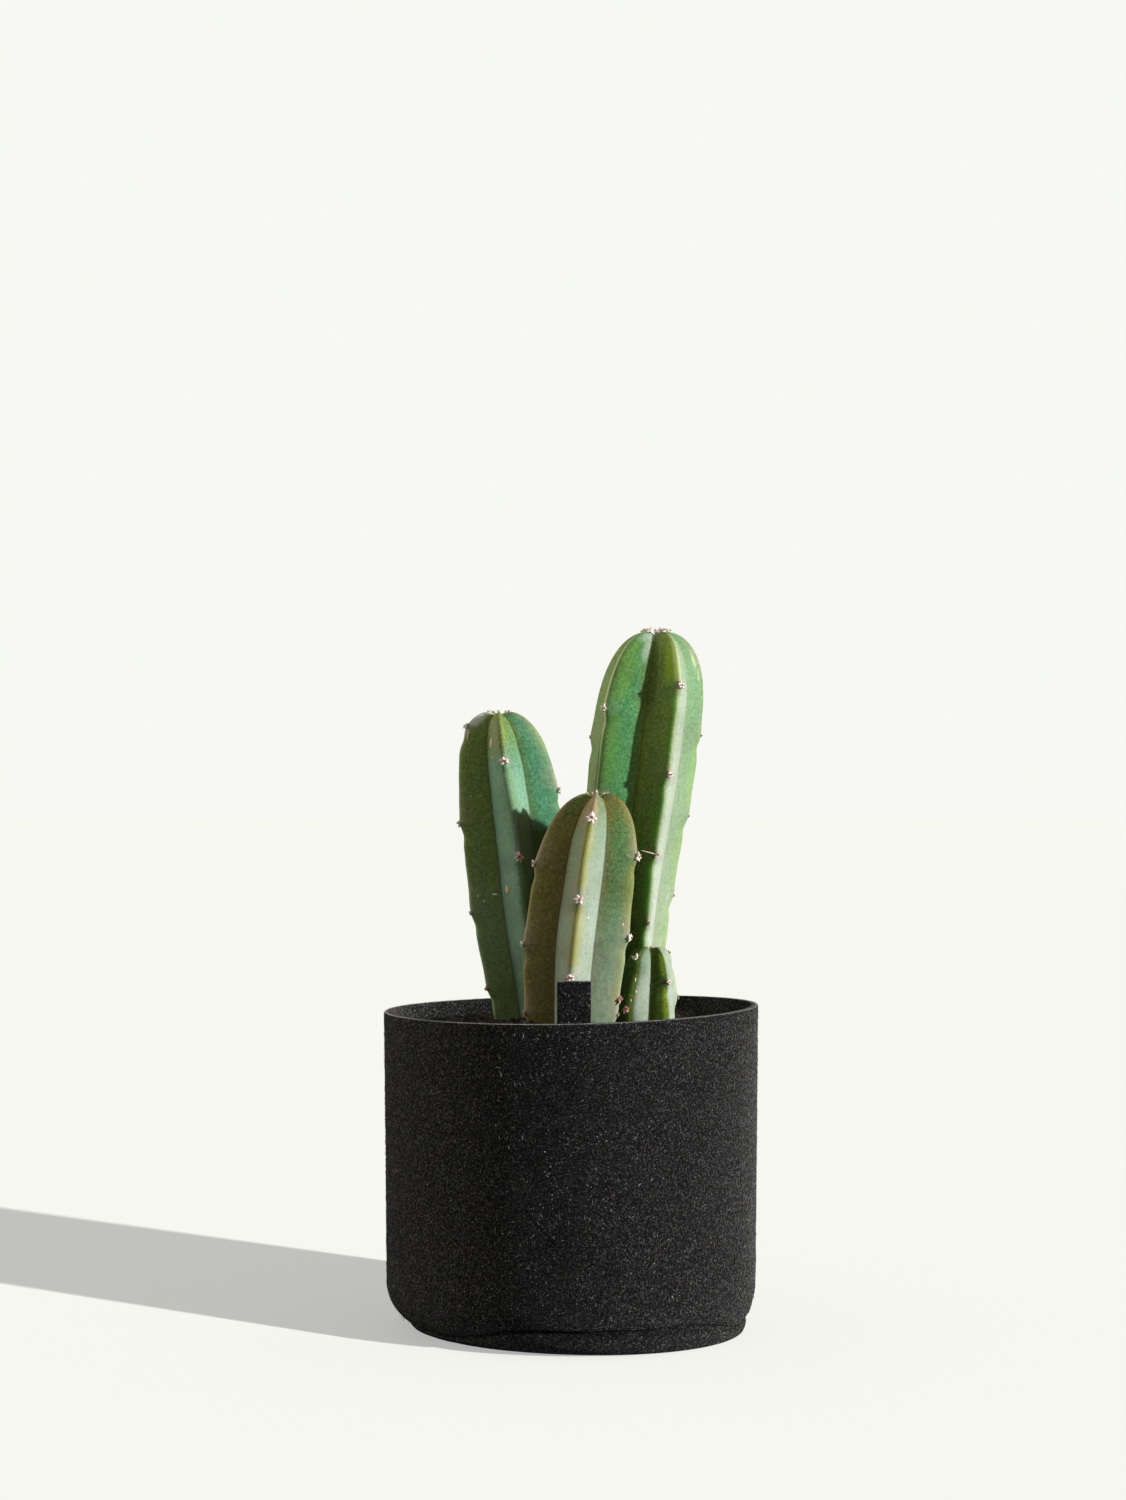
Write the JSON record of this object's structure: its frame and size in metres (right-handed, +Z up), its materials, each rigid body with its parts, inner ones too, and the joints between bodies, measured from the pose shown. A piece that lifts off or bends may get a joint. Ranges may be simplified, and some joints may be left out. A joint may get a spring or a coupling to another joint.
{
  "type": "potted myrtillocactus",
  "caption": "Columnar cactus with ribbed stems standing in soil in a round black felt pot with an inner tab.",
  "frame": {"origin": "centre of the pot's underside, on the surface that it stands on", "axes": "+Z up along the pot's axis, -Y towards the front with the felt tab, +X to the right seen from the front"},
  "size_m": [0.15, 0.15, 0.2812],
  "materials": {
    "felt": "matt black needled felt with pale fibre specks",
    "soil": "matt dark reddish brown potting mix",
    "cactus_skin": "waxy green skin with pale wool and short spines"
  },
  "bodies": {
    "root": {"felt_wall": "felt", "felt_base": "felt", "felt_tab": "felt", "soil": "soil", "stem_tall": "cactus_skin", "stem_left": "cactus_skin", "stem_middle": "cactus_skin", "stem_pup": "cactus_skin"}
  },
  "joints": []
}
